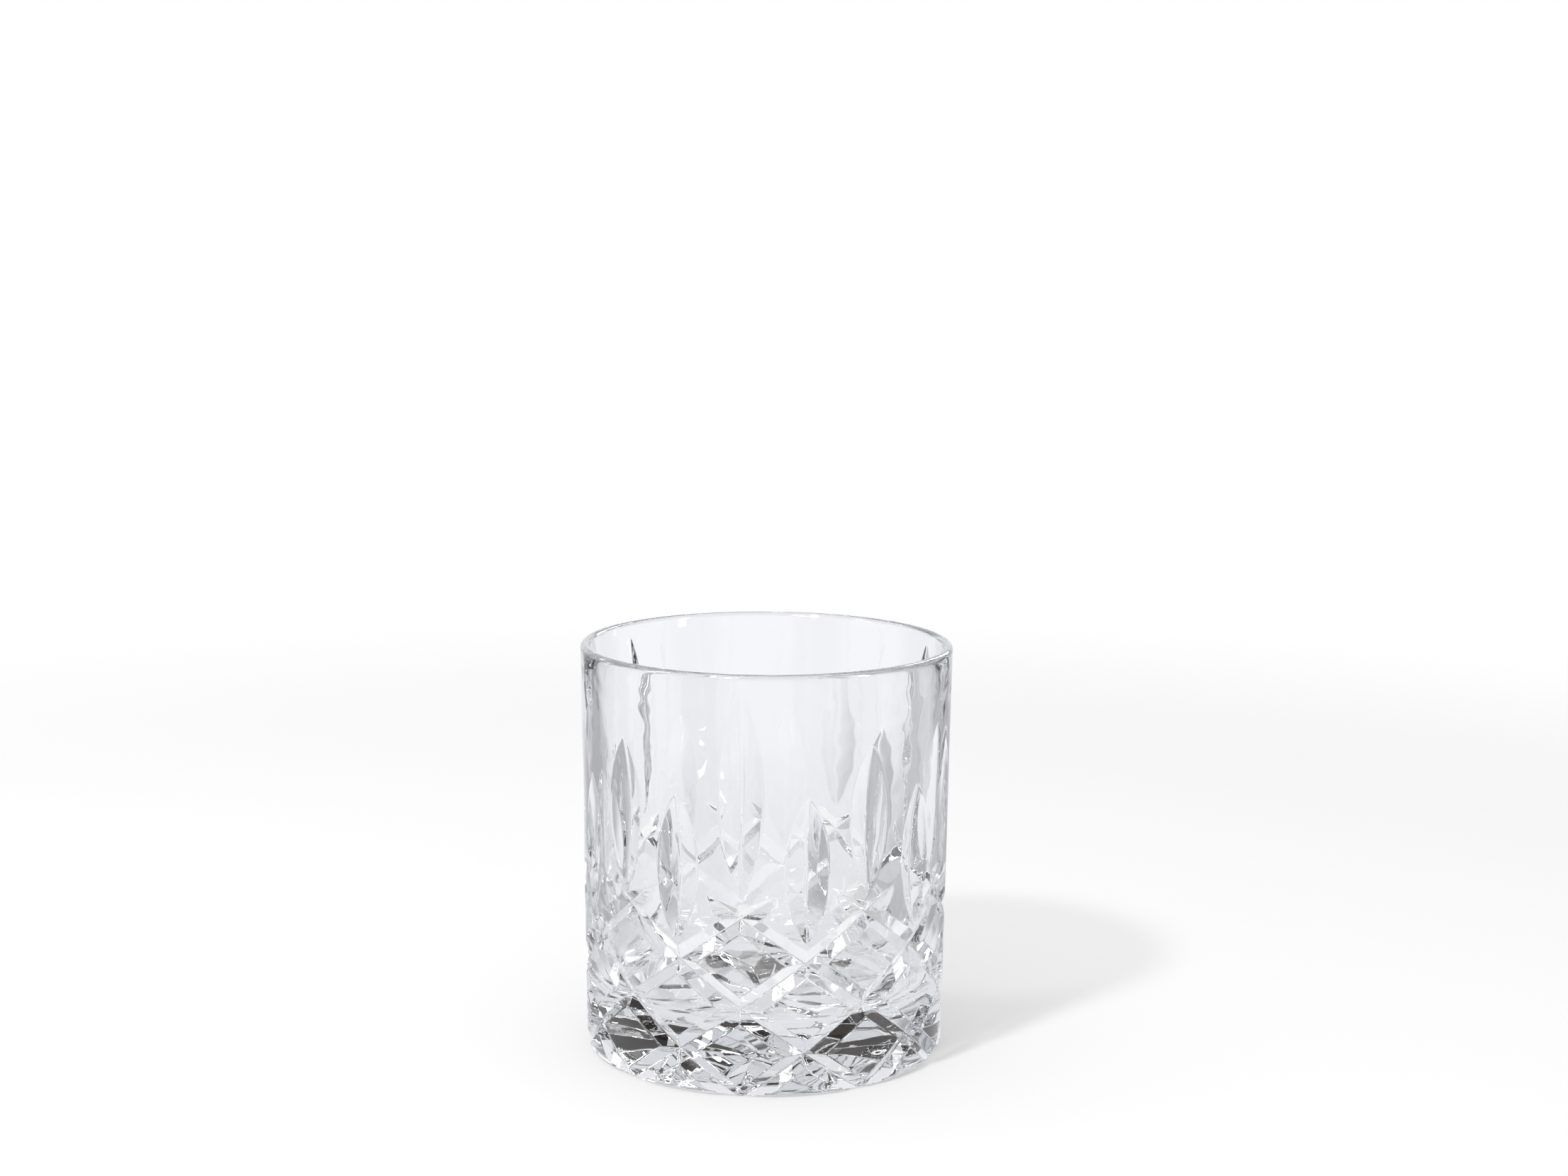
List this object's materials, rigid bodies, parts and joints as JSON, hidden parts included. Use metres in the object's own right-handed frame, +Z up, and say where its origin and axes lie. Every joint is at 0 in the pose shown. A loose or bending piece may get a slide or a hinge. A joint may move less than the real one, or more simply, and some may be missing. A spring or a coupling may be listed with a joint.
{
  "type": "whisky tumbler",
  "caption": "Straight-sided clear glass tumbler for whisky, with a thick star-cut base, crossed mitre cuts that leave diamonds, and upright pointed leaf cuts under a plain rounded rim.",
  "frame": {"origin": "centre of the foot, on the plane the glass stands on", "axes": "+Z up along the axis of the glass, -Y towards the tall leaf cut that faces the picture's side"},
  "size_m": [0.083, 0.083, 0.092],
  "materials": {
    "clear_glass": "polished"
  },
  "bodies": {
    "root": {"tumbler": "clear_glass"}
  },
  "joints": []
}
